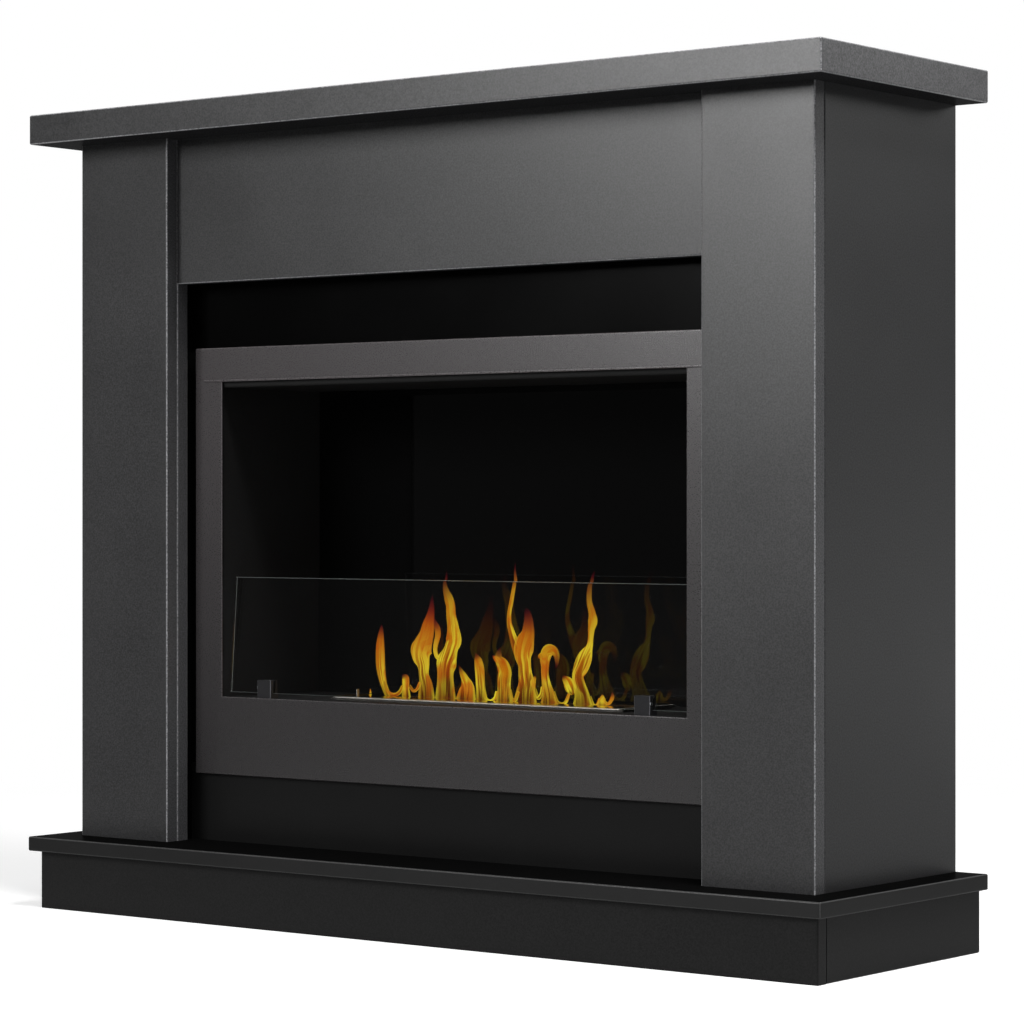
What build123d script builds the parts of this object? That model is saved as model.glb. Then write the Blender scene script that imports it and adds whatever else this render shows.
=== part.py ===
from build123d import *
import os

os.makedirs("parts", exist_ok=True)

# A bioethanol fireplace: a lacquered board surround with a folded steel insert,
# a lift-out burner with a sliding damper, and a low glass windscreen.
# Millimetres. X is the width, Y runs from the front (-) to the wall (+), Z is up.
# The origin is on the floor, under the centre of the hearth board.

# Surround, outer sizes
total_height = 1000
body_width, body_depth = 1098, 298
mantel_thickness = 37
mantel_side_overhang, mantel_front_overhang = 41, 52
hearth_thickness = 18
hearth_side_overhang, hearth_front_overhang = 41, 54
plinth_height = 72
plinth_side_overhang, plinth_front_overhang = 30, 42
pilaster_width = 148
header_height = 180

# Surround, boards
front_board = 19
side_board = 18
niche_board = 16
edge_round = 2
upright_gap = 8
rail_height, bottom_rail_height = 100, 80
cross_rail_spacing = 400
cross_rail_height = 60
corner_block = 40
tenon_width, tenon_thickness, tenon_length = 50, 5, 30
tenon_play = 0.1
tenon_inset = 50

# Insert: the frame that faces the room
sheet = 1.5
bend_radius = 1.5
frame_setback = 45.3
frame_height = 530
frame_side_gap = 6
frame_above_hearth = 83.5
side_border, top_border, bottom_border = 44.5, 42.3, 96.7
outer_return, inner_return, sill_depth = 8, 4, 34
opening_round = 1
frame_gap = 0.3
lip_height, lip_reach, lip_round, lip_overrun = 2.4, 2, 0.9, 28

# Insert: casing and firebox
casing_inset, casing_bottom_inset, casing_top_inset = 20, 11.7, 10.3
casing_rear_gap = 18.2
back_flange = 15
vents_in_row, vent_pitch, vent_inset = 4, 160, 40
vent_length, vent_height = 125, 8
firebox_side_step = 3.5
firebox_rear_gap = 22
ceiling_drop = 7.3
liner_thickness = 4
liner_gap = 0.5
floor_leg_gap = 1.5
shield_top_gap = 1.8
shield_back_lip = 15
casing_screw_x, casing_screw_y = 300, 40
casing_screw_diameter, casing_screw_length = 5, 14
casing_screw_head, casing_screw_head_height = 9, 3
screw_play = 0.1

# Burner
burner_sheet = 1.0
burner_bend_radius = 1.2
rim_length = 445
rim_overhang = 12
rim_radius = 5
burner_front_gap, burner_rear_gap = 23, 27
tank_depth = 60
tank_radius, tank_bottom_radius = 16, 6
cutout_play = 3
flame_slot_width, flame_slot_radius = 38, 4
flame_slot_end, flame_slot_back = 29.5, 13
wool_height, wool_play = 42, 5
channel_depth = 8
damper_front, damper_clearance, damper_cover = 3.3, 4.2, 4.25
running_gap = 0.3
channel_play = 0.6
tab_width, tab_height, tab_radius = 4, 8, 1.5
tab_play = 1.2

# Windscreen
glass_side_gap = 4.5
glass_height, glass_thickness, glass_chamfer = 143, 5, 0.5
glass_lean = 4.1
glass_setback = 10.5
glass_lift = 5.8
clip_size, clip_depth, clip_round = 22, 15, 1
clip_setback = 5.5
clip_spacing = 571
gasket = 0.8
clip_screw_diameter, clip_screw_length = 3, 6
clip_screw_head, clip_screw_head_height = 4.6, 0.6
clip_screw_socket = 2
clip_screw_lift, clip_screw_inset = 13, 2.6

# Planes that the pieces share
mantel_width = body_width + 2 * mantel_side_overhang
mantel_depth = body_depth + mantel_front_overhang
hearth_width = body_width + 2 * hearth_side_overhang
hearth_depth = body_depth + hearth_front_overhang
plinth_width = body_width + 2 * plinth_side_overhang
plinth_depth = body_depth + plinth_front_overhang
back_y = hearth_depth / 2
mantel_bottom = total_height - mantel_thickness
hearth_top = plinth_height + hearth_thickness
header_bottom = mantel_bottom - header_height
face_y = back_y - body_depth
portal_y = face_y + front_board
portal_back_y = portal_y + front_board
half_body = body_width / 2
inner_pilaster = half_body - pilaster_width
inner_side = half_body - side_board
upright_x = inner_pilaster + upright_gap
rail_y = back_y - side_board

frame_width = 2 * (inner_pilaster - frame_side_gap)
frame_y = face_y + frame_setback
frame_back_y = frame_y + sheet
frame_bottom = hearth_top + frame_above_hearth
frame_top = frame_bottom + frame_height
opening_width = frame_width - 2 * side_border
opening_bottom = frame_bottom + bottom_border
opening_top = frame_top - top_border
opening_height = opening_top - opening_bottom
panel_y = frame_y + outer_return + frame_gap
panel_back_y = panel_y + niche_board
casing_width = frame_width - 2 * casing_inset
casing_bottom = frame_bottom + casing_bottom_inset
casing_top = frame_top - casing_top_inset
casing_height = casing_top - casing_bottom
casing_back_y = rail_y - casing_rear_gap
casing_inner = casing_width / 2 - sheet

floor_top = opening_bottom - sheet
firebox_back_y = casing_back_y - firebox_rear_gap
wall_back_y = firebox_back_y - sheet
liner_y = wall_back_y - liner_thickness
ceiling = opening_top - ceiling_drop
shield_back_y = firebox_back_y + 2 * bend_radius
half_firebox = opening_width / 2 + firebox_side_step

damper_width = flame_slot_width + 2 * damper_cover
flame_slot_front = damper_front + damper_width + damper_clearance
flame_slot_length = rim_length - 2 * flame_slot_end
rim_depth = flame_slot_front + flame_slot_width + flame_slot_back
# What the burner leaves free between sill and liner is shared out as these two gaps are
sill_back_y = frame_y + sill_depth
free_floor = liner_y - sill_back_y - rim_depth
gap_share = free_floor / (burner_front_gap + burner_rear_gap)
rim_front_y = sill_back_y + gap_share * burner_front_gap
rim_centre_y = rim_front_y + rim_depth / 2
tank_length, tank_width = rim_length - 2 * rim_overhang, rim_depth - 2 * rim_overhang
rim_top = floor_top + burner_sheet
plate_top = rim_top + burner_sheet
damper_bottom = plate_top + running_gap
damper_top = damper_bottom + burner_sheet
channel_top = damper_top + running_gap + burner_sheet


def span(x, y, z):
    """A square-edged board or plate that fills the given span on each axis."""
    centre = [(low + high) / 2 for low, high in (x, y, z)]
    size = [high - low for low, high in (x, y, z)]
    return Pos(*centre) * Box(*size)


def overhanging_board(x, y, z):
    """A lacquered board whose edges are eased, except those against the wall."""
    raw = span(x, y, z)
    wall_edges = raw.edges().group_by(Axis.Y)[-1]
    return fillet(raw.edges() - wall_edges, edge_round)


def upright_board(x, y, z):
    """A lacquered board with its four upright edges eased."""
    raw = span(x, y, z)
    return fillet(raw.edges().filter_by(Axis.Z), edge_round)


def both_sides(x):
    """The signed places of a pair that mirrors across the centre."""
    return (-x, x)


def side_span(sign, near, far):
    """The X span between two distances from the centre, on one side."""
    return tuple(sorted((sign * near, sign * far)))


def folded_sheet(points, thickness, radius):
    """Section of a sheet folded along points, thickened to the left of the path."""
    path = FilletPolyline(*points, radius=radius)
    outline = path.wire().offset_2d(thickness, side=Side.LEFT, closed=True)
    return make_face(outline.edges())


def along_y(section, y_low, y_high):
    """Carry a section drawn in X and Z from y_low to y_high."""
    front = Plane(origin=(0, y_high, 0), x_dir=(1, 0, 0), z_dir=(0, -1, 0))
    return front * extrude(section, y_high - y_low)


def along_x(section, half_length):
    """Carry a section drawn in Y and Z across the width."""
    left = Plane(origin=(-half_length, 0, 0), x_dir=(0, 1, 0), z_dir=(1, 0, 0))
    return left * extrude(section, 2 * half_length)


# Loose tenons: each is centred on the joint, half of its length in each board
side_tenon_x = half_body - side_board / 2
stile_tenon_x = (inner_pilaster + inner_side) / 2
portal_mid_y = (portal_y + portal_back_y) / 2
header_tenon_places = [
    Pos(x, portal_mid_y, z) * Rot(Y=90)
    for x in both_sides(inner_pilaster)
    for z in (header_bottom + tenon_inset, mantel_bottom - tenon_inset)
]


def body_tenon_places(z):
    """Two places on each side panel and one on each stile, at the body's top or bottom."""
    on_sides = [
        Pos(x, y, z) * Rot(Z=90)
        for x in both_sides(side_tenon_x)
        for y in (portal_y + tenon_inset, back_y - tenon_inset)
    ]
    on_stiles = [Pos(x, portal_mid_y, z) for x in both_sides(stile_tenon_x)]
    return on_sides + on_stiles


def tenons(places, play=0.0):
    """Flat wooden tenons on the given places, or their pockets where play is added."""
    tenon = Box(
        tenon_width + 2 * play, tenon_thickness + 2 * play, tenon_length + 2 * play
    )
    return Part() + [place * tenon for place in places]


def body_pockets():
    """Pockets at the body's top and bottom, into the mantel and the hearth board."""
    places = body_tenon_places(mantel_bottom) + body_tenon_places(hearth_top)
    return tenons(places, tenon_play)


def mantel_shelf():
    slab = overhanging_board(
        (-mantel_width / 2, mantel_width / 2),
        (back_y - mantel_depth, back_y),
        (mantel_bottom, total_height),
    )
    return slab - body_pockets()


def hearth_board():
    slab = overhanging_board(
        (-hearth_width / 2, hearth_width / 2),
        (back_y - hearth_depth, back_y),
        (plinth_height, hearth_top),
    )
    return slab - body_pockets()


def pilaster_facing(sign):
    return upright_board(
        side_span(sign, inner_pilaster, half_body),
        (face_y, portal_y),
        (hearth_top, mantel_bottom),
    )


def stile(sign):
    raw = span(
        side_span(sign, inner_pilaster, inner_side),
        (portal_y, portal_back_y),
        (hearth_top, mantel_bottom),
    )
    inner_edges = raw.edges().filter_by(Axis.Z).sort_by(Axis.X)
    niche_side = inner_edges[:2] if sign > 0 else inner_edges[-2:]
    eased = fillet(niche_side, edge_round)
    return eased - body_pockets() - tenons(header_tenon_places, tenon_play)


def header_board():
    raw = span(
        (-inner_pilaster, inner_pilaster),
        (portal_y, portal_back_y),
        (header_bottom, mantel_bottom),
    )
    lower_edges = raw.edges().filter_by(Axis.X).sort_by(Axis.Z)[:2]
    eased = fillet(lower_edges, edge_round)
    return eased - tenons(header_tenon_places, tenon_play)


def side_panel(sign):
    raw = span(
        side_span(sign, inner_side, half_body),
        (portal_y, back_y),
        (hearth_top, mantel_bottom),
    )
    outer_edges = raw.edges().filter_by(Axis.Z).sort_by(Axis.X)
    room_side = outer_edges[-2:] if sign > 0 else outer_edges[:2]
    return fillet(room_side, edge_round) - body_pockets()


def upright(sign):
    return span(
        side_span(sign, upright_x, upright_x + side_board),
        (portal_back_y, rail_y),
        (hearth_top, mantel_bottom),
    )


def upper_niche_panel():
    raw = span(
        (-upright_x, upright_x),
        (panel_y, panel_back_y),
        (frame_top - edge_round, mantel_bottom),
    )
    lower_edges = raw.edges().filter_by(Axis.X).sort_by(Axis.Z)[:2]
    return fillet(lower_edges, edge_round)


def lower_niche_panel():
    raw = span(
        (-upright_x, upright_x),
        (panel_y, panel_back_y),
        (hearth_top, casing_bottom),
    )
    upper_edges = raw.edges().filter_by(Axis.X).sort_by(Axis.Z)[-2:]
    return fillet(upper_edges, edge_round)


def casing_screw_places(z):
    mid_y = (frame_back_y + casing_back_y) / 2
    return [
        (x, y, z)
        for x in both_sides(casing_screw_x)
        for y in (mid_y - casing_screw_y, mid_y + casing_screw_y)
    ]


def insert_shelf():
    """The shelf under the insert, with pilot holes for the casing's screws."""
    shelf = span(
        (-upright_x, upright_x),
        (panel_back_y, rail_y),
        (casing_bottom - side_board, casing_bottom),
    )
    pilot = Cylinder(casing_screw_diameter / 2 + screw_play, 2 * casing_screw_length)
    return shelf - [Pos(*place) * pilot for place in casing_screw_places(casing_bottom)]


def back_rail(z):
    return span((-inner_side, inner_side), (rail_y, back_y), z)


half_plinth = plinth_width / 2
plinth_front_y = back_y - plinth_depth
plinth_inner_y = plinth_front_y + side_board
plinth_inner_x = half_plinth - side_board


def plinth_front_board():
    return upright_board(
        (-half_plinth, half_plinth), (plinth_front_y, plinth_inner_y), (0, plinth_height)
    )


def plinth_side(sign):
    raw = span(
        side_span(sign, plinth_inner_x, half_plinth),
        (plinth_inner_y, back_y),
        (0, plinth_height),
    )
    return fillet(raw.edges().filter_by(Axis.Y), edge_round)


def plinth_back_board():
    return span((-plinth_inner_x, plinth_inner_x), (rail_y, back_y), (0, plinth_height))


def plinth_cross_rails():
    """Rails from front to back under the hearth board, clear of the floor."""
    rails = [
        span(
            (x - side_board / 2, x + side_board / 2),
            (plinth_inner_y, rail_y),
            (plinth_height - cross_rail_height, plinth_height),
        )
        for x in both_sides(cross_rail_spacing / 2)
    ]
    return Part() + rails


def plinth_corner_blocks():
    """Three-cornered blocks, glued into the four corners of the plinth."""
    blocks = []
    for x_sign in (-1, 1):
        for y, y_sign in ((plinth_inner_y, 1), (rail_y, -1)):
            corner = (x_sign * plinth_inner_x, y)
            along_side = (x_sign * plinth_inner_x, y + y_sign * corner_block)
            along_board = (x_sign * (plinth_inner_x - corner_block), y)
            triangle = make_face(Polyline(corner, along_side, along_board, close=True))
            low = plinth_height - cross_rail_height
            block = extrude(triangle, cross_rail_height, dir=(0, 0, 1))
            blocks.append(Pos(0, 0, low) * block)
    return Part() + blocks


def insert_frame():
    """The steel frame: a plate with edges folded back, round the opening and outside."""
    middle_z = (frame_bottom + frame_top) / 2
    opening_z = (opening_bottom + opening_top) / 2
    blank = Pos(0, frame_y + outer_return / 2, middle_z) * Box(
        frame_width, outer_return, frame_height
    )
    front_edges = blank.edges().group_by(Axis.Y)[0]
    tray = fillet(front_edges, bend_radius)
    tray -= Pos(0, frame_back_y + outer_return / 2, middle_z) * Box(
        frame_width - 2 * sheet, outer_return, frame_height - 2 * sheet
    )
    opening = Pos(0, frame_y, opening_z) * Box(opening_width, 4 * sheet, opening_height)
    cut = tray - opening
    opening_edges = new_edges(tray, opening, combined=cut).group_by(Axis.Y)[0]
    plate = fillet(opening_edges, opening_round)
    half = opening_width / 2
    returns = span(
        (-half - sheet, half + sheet),
        (frame_back_y, frame_y + inner_return),
        (opening_bottom - sheet, opening_top + sheet),
    )
    returns -= Pos(0, frame_y + inner_return / 2, opening_z) * Box(
        opening_width, 2 * inner_return, opening_height
    )
    sill = span(
        (-half - sheet, half + sheet),
        (frame_back_y, sill_back_y),
        (opening_bottom - sheet, opening_bottom),
    )
    return plate + returns + sill + opening_lip()


def opening_lip():
    """The rounded lip along the opening's upper edge, longer than the opening."""
    depth = lip_reach + sheet / 2
    centre = Pos(frame_y - lip_reach + depth / 2, opening_top + lip_height / 2)
    section = centre * Rectangle(depth, lip_height)
    front_corners = section.vertices().group_by(Axis.X)[0]
    return along_x(fillet(front_corners, lip_round), opening_width / 2 + lip_overrun)


def outer_casing():
    """The wrap of the casing: one sheet, bent round bottom, sides and top."""
    middle_z = (casing_bottom + casing_top) / 2
    outer = RectangleRounded(casing_width, casing_height, 2 * bend_radius)
    inner = RectangleRounded(
        casing_width - 2 * sheet, casing_height - 2 * sheet, bend_radius
    )
    wrap = along_y(Pos(0, middle_z) * (outer - inner), frame_back_y, casing_back_y)
    hole = Cylinder(casing_screw_diameter / 2 + screw_play, 4 * sheet)
    return wrap - [Pos(*place) * hole for place in casing_screw_places(casing_bottom)]


def casing_back():
    """The back of the casing, a shallow tray with air slots near its top and bottom."""
    middle_z = (casing_bottom + casing_top) / 2
    width, height = casing_width - 2 * sheet, casing_height - 2 * sheet
    outline = RectangleRounded(width, height, bend_radius)
    inside = RectangleRounded(width - 2 * sheet, height - 2 * sheet, bend_radius)
    tray = along_y(Pos(0, middle_z) * outline, casing_back_y - back_flange, casing_back_y)
    tray -= along_y(
        Pos(0, middle_z) * inside, casing_back_y - back_flange, casing_back_y - sheet
    )
    row_pitch = casing_height - 2 * vent_inset
    vent = SlotOverall(vent_length, vent_height)
    grid = GridLocations(vent_pitch, row_pitch, vents_in_row, 2)
    vents = Sketch() + [Pos(0, middle_z) * place * vent for place in grid]
    return tray - along_y(vents, casing_back_y - 2 * sheet, casing_back_y + sheet)


def casing_screws():
    """Hex-head screws through the casing's bottom into the shelf."""
    head = extrude(RegularPolygon(casing_screw_head / 2, 6), casing_screw_head_height)
    shank = Pos(0, 0, -casing_screw_length / 2) * Cylinder(
        casing_screw_diameter / 2, casing_screw_length
    )
    seat = casing_bottom + sheet
    return Part() + [Pos(*place) * (head + shank) for place in casing_screw_places(seat)]


def firebox_floor():
    """The firebox floor: a sheet folded down to legs, with a hole for the burner."""
    leg_x = casing_inner - floor_leg_gap
    leg_bottom = casing_bottom + sheet
    section = folded_sheet(
        [(leg_x, leg_bottom), (leg_x, floor_top), (-leg_x, floor_top), (-leg_x, leg_bottom)],
        sheet,
        2 * bend_radius,
    )
    plate = along_y(section, frame_back_y, firebox_back_y)
    play = 2 * cutout_play
    hole = RectangleRounded(tank_length + play, tank_width + play, tank_radius + cutout_play)
    return plate - Pos(0, rim_centre_y, floor_top - 2 * sheet) * extrude(hole, 4 * sheet)


def firebox_wall(sign):
    """A side wall with a flange behind the frame and another on the back wall."""
    flange_x = casing_inner - floor_leg_gap
    points = [
        (flange_x, wall_back_y),
        (half_firebox, wall_back_y),
        (half_firebox, frame_back_y),
        (flange_x, frame_back_y),
    ]
    section = folded_sheet(points, sheet, 2 * bend_radius)
    wall = Pos(0, 0, floor_top) * extrude(section, ceiling - floor_top, dir=(0, 0, 1))
    return wall if sign > 0 else mirror(wall, about=Plane.YZ)


def firebox_back_wall():
    half_width = casing_inner - floor_leg_gap
    return span(
        (-half_width, half_width), (wall_back_y, firebox_back_y), (floor_top, ceiling)
    )


def heat_shield():
    """The firebox ceiling, folded up behind the frame and past the back wall."""
    lip_y = frame_y + inner_return + frame_gap
    section = folded_sheet(
        [
            (lip_y, casing_top - sheet - shield_top_gap),
            (lip_y, ceiling),
            (shield_back_y, ceiling),
            (shield_back_y, ceiling + shield_back_lip),
        ],
        sheet,
        2 * bend_radius,
    )
    return along_x(section, casing_inner - floor_leg_gap)


def back_liner():
    """The black glass plate in front of the back wall."""
    half_width = half_firebox - liner_gap
    return span(
        (-half_width, half_width), (liner_y, wall_back_y), (floor_top, ceiling - liner_gap)
    )


def tank_block(inset, top):
    """The tank's upright-sided form, or what fits inside it by the given inset."""
    outline = RectangleRounded(
        tank_length - 2 * inset, tank_width - 2 * inset, tank_radius - inset
    )
    bottom = floor_top - tank_depth + min(inset, burner_sheet)
    return Pos(0, rim_centre_y, bottom) * extrude(outline, top - bottom)


def round_bottom(block, radius):
    """Round the lowest edges, as a drawn tank has them."""
    return fillet(block.edges().group_by(Axis.Z)[0], radius)


def burner_tank():
    """The drawn tank with its flange, which rests on the firebox floor."""
    rim = RectangleRounded(rim_length, rim_depth, rim_radius)
    flange = Pos(0, rim_centre_y, floor_top) * extrude(rim, burner_sheet)
    shell = flange + round_bottom(tank_block(0, floor_top), tank_bottom_radius)
    inside = tank_block(burner_sheet, rim_top + burner_sheet)
    return shell - round_bottom(inside, tank_bottom_radius - burner_sheet)


def ceramic_wool_pad():
    """The mat on the tank's bottom, cut clear of the rounding of its lower edges."""
    bottom = floor_top - tank_depth + burner_sheet
    return tank_block(burner_sheet + wool_play, bottom + wool_height)


def burner_top_plate():
    """The slotted plate, whose ends are folded over as channels for the damper."""
    web = rim_length / 2
    lip = web - channel_depth
    section = folded_sheet(
        [(-lip, channel_top), (-web, channel_top), (-web, rim_top), (web, rim_top),
         (web, channel_top), (lip, channel_top)],
        burner_sheet,
        burner_bend_radius,
    )
    plate = along_y(section, rim_front_y, rim_front_y + rim_depth)
    slot = RectangleRounded(flame_slot_length, flame_slot_width, flame_slot_radius)
    slot_y = rim_front_y + flame_slot_front + flame_slot_width / 2
    return plate - Pos(0, slot_y, rim_top - burner_sheet) * extrude(slot, 3 * burner_sheet)


def damper_plate():
    """The plate that slides back over the flame slot, with its finger tab."""
    half_length = rim_length / 2 - burner_sheet - channel_play
    front = rim_front_y + damper_front
    back = front + damper_width
    plate = span((-half_length, half_length), (front, back), (damper_bottom, damper_top))
    tab_x = -(rim_length / 2 - channel_depth - tab_play)
    tab = span(
        (tab_x, tab_x + burner_sheet),
        (back - 2 * tab_width, back - tab_width),
        (damper_top - burner_sheet / 2, damper_top + tab_height),
    )
    top_edges = tab.edges().group_by(Axis.Z)[-1].filter_by(Axis.X)
    return plate + fillet(top_edges, tab_radius)


# The windscreen is drawn upright, front bottom edge at the origin, then leant back
glass_width = opening_width - 2 * glass_side_gap
glass_bottom = opening_bottom + glass_lift
glass_y = frame_y + glass_setback
glass_seat = Pos(0, glass_y, glass_bottom) * Rot(X=-glass_lean)
clip_front_y = frame_y + clip_setback
clip_places = both_sides(clip_spacing / 2)


def glass_sheet(half_width, margin):
    """The pane as it stands, or a larger copy of its lower part as a cutter."""
    return glass_seat * span(
        (-half_width, half_width),
        (-margin, glass_thickness + margin),
        (-margin, glass_height),
    )


def glass_pane():
    pane = span(
        (-glass_width / 2, glass_width / 2), (0, glass_thickness), (0, glass_height)
    )
    return glass_seat * chamfer(pane.edges(), glass_chamfer)


def clip_block(x):
    """The solid block of one clip, before the glass is let into it."""
    half = clip_size / 2
    block = span(
        (x - half, x + half),
        (clip_front_y, clip_front_y + clip_depth),
        (opening_bottom, opening_bottom + clip_size),
    )
    return fillet(block.edges().filter_by(Axis.Z), clip_round)


def clip_screw(x, play=0.0):
    """A socket screw in the outer side of a clip's front jaw, or its hole."""
    outward = 1 if x > 0 else -1
    face_x = x + outward * clip_size / 2
    place = Pos(face_x, clip_front_y + clip_screw_inset, opening_bottom + clip_screw_lift)
    turn = Rot(Y=90 * outward)
    shank = Pos(0, 0, -clip_screw_length / 2) * Cylinder(
        clip_screw_diameter / 2 + play, clip_screw_length
    )
    if play:
        return place * turn * shank
    head = Cylinder(
        clip_screw_head / 2,
        clip_screw_head_height,
        align=(Align.CENTER, Align.CENTER, Align.MIN),
    )
    socket = extrude(RegularPolygon(clip_screw_socket / 2, 6), 2 * clip_screw_head_height)
    return place * turn * (shank + head - Pos(0, 0, clip_screw_head_height / 3) * socket)


def glass_clip(x):
    return clip_block(x) - glass_sheet(glass_width, gasket) - clip_screw(x, screw_play)


def clip_gaskets():
    """The rubber between glass and clip, on both faces and under the edge."""
    gaskets = []
    for x in clip_places:
        inside = clip_block(x) & glass_sheet(glass_width, gasket)
        gaskets.append(inside - glass_sheet(glass_width, 0) - clip_screw(x, screw_play))
    return Part() + gaskets


pieces = {
    "mantel_shelf": mantel_shelf(),
    "header_board": header_board(),
    "left_pilaster_facing": pilaster_facing(-1),
    "right_pilaster_facing": pilaster_facing(1),
    "left_stile": stile(-1),
    "right_stile": stile(1),
    "left_side_panel": side_panel(-1),
    "right_side_panel": side_panel(1),
    "left_upright": upright(-1),
    "right_upright": upright(1),
    "upper_niche_panel": upper_niche_panel(),
    "lower_niche_panel": lower_niche_panel(),
    "insert_shelf": insert_shelf(),
    "top_back_rail": back_rail((mantel_bottom - rail_height, mantel_bottom)),
    "bottom_back_rail": back_rail((hearth_top, hearth_top + bottom_rail_height)),
    "hearth_board": hearth_board(),
    "plinth_front_board": plinth_front_board(),
    "left_plinth_side": plinth_side(-1),
    "right_plinth_side": plinth_side(1),
    "plinth_back_board": plinth_back_board(),
    "plinth_cross_rails": plinth_cross_rails(),
    "plinth_corner_blocks": plinth_corner_blocks(),
    "header_tenons": tenons(header_tenon_places),
    "mantel_tenons": tenons(body_tenon_places(mantel_bottom)),
    "hearth_tenons": tenons(body_tenon_places(hearth_top)),
    "insert_frame": insert_frame(),
    "outer_casing": outer_casing(),
    "casing_back": casing_back(),
    "casing_screws": casing_screws(),
    "firebox_floor": firebox_floor(),
    "left_firebox_wall": firebox_wall(-1),
    "right_firebox_wall": firebox_wall(1),
    "firebox_back_wall": firebox_back_wall(),
    "heat_shield": heat_shield(),
    "back_liner": back_liner(),
    "burner_tank": burner_tank(),
    "burner_top_plate": burner_top_plate(),
    "ceramic_wool_pad": ceramic_wool_pad(),
    "damper_plate": damper_plate(),
    "glass_pane": glass_pane(),
    "left_glass_clip": glass_clip(clip_places[0]),
    "right_glass_clip": glass_clip(clip_places[1]),
    "clip_gaskets": clip_gaskets(),
    "clip_screws": Part() + [clip_screw(x) for x in clip_places],
}

for name, piece in pieces.items():
    export_step(piece, f"parts/{name}.step")
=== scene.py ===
import math

import bpy
import numpy as np
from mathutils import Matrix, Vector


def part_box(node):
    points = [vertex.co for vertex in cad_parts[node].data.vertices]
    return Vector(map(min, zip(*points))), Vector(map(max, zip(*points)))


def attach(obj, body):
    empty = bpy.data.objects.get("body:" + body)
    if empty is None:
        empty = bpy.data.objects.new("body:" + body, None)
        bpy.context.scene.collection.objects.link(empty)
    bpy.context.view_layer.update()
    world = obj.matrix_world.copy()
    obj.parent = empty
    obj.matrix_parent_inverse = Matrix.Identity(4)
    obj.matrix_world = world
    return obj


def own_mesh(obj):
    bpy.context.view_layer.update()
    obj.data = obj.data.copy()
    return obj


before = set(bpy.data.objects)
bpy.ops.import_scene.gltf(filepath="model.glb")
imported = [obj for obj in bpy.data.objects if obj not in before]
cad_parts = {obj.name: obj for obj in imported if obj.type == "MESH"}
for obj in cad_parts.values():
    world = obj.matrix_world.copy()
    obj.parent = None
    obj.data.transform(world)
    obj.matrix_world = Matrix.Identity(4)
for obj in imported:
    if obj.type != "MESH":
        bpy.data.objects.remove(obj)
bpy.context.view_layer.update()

# ---------------------------------------------------------------- surround
# Mantel, header, pilasters and side panels are MDF boards, eased at their edges
# and sprayed with a matt graphite lacquer: a fine, dry grain and a sheen that is never
# quite even over a hand's width. Along the eased edges the colour is painted lighter,
# a painted highlight, and on the front boards the faces along X get painted light.

mm = 0.001

# Ranges that a MapRange starts from: where nearly all values of a Noise Texture lie, and
# where the normal's part along an axis tells a face square to it, or an eased edge.
noise_range = {1: 0.3, 2: 0.7}
square_range = {1: 0.97, 2: 0.99}
eased_range = {1: 0.9, 2: 0.985}


def linear(code):
    """An sRGB hex colour as the linear RGBA that a shader reads."""
    srgb = np.array([int(code[i : i + 2], 16) / 255 for i in (1, 3, 5)])
    light = np.where(srgb <= 0.04045, srgb / 12.92, ((srgb + 0.055) / 1.055) ** 2.4)
    return (*light.tolist(), 1.0)


def add(tree, kind, inputs=(), **settings):
    """Adds a shader node. Each input gets a value, an output, or a node's first output.

    MapRange reads its inputs by number: 0 is the value, 1 to 2 the range that the
    value has, and 3 to 4 the range that it is given. A Mix of colours reads 0 as the
    second one's share and 6 and 7 as the colours, and gives the mixture as output 2.
    """
    made = tree.nodes.new("ShaderNode" + kind)
    for name, value in settings.items():
        setattr(made, name, value)
    for socket, value in dict(inputs).items():
        if isinstance(value, bpy.types.Node):
            value = value.outputs[0]
        if isinstance(value, bpy.types.NodeSocket):
            tree.links.new(value, made.inputs[socket])
        else:
            made.inputs[socket].default_value = value
    return made


def new_material(name):
    """An empty material: its tree, and the Object coordinates in metres that patterns follow."""
    material = bpy.data.materials.new(name)
    material.use_nodes = True
    tree = material.node_tree
    tree.nodes.clear()
    return material, tree, add(tree, "TexCoord").outputs["Object"]


def coat(material, *names):
    """Puts a finish on every material slot of the named CAD nodes."""
    for name in names:
        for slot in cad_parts[name].material_slots:
            slot.material = material


def facing_axes(tree):
    """How far the normal follows X, Y and Z, each from 0 to 1, and the most of the three."""
    normal = add(tree, "NewGeometry").outputs["Normal"]
    either_way = add(tree, "VectorMath", {0: normal}, operation="ABSOLUTE")
    x, y, z = add(tree, "SeparateXYZ", {0: either_way}).outputs
    flatter = add(tree, "Math", {0: x, 1: y}, operation="MAXIMUM")
    return x, y, z, add(tree, "Math", {0: flatter, 1: z}, operation="MAXIMUM")


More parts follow.
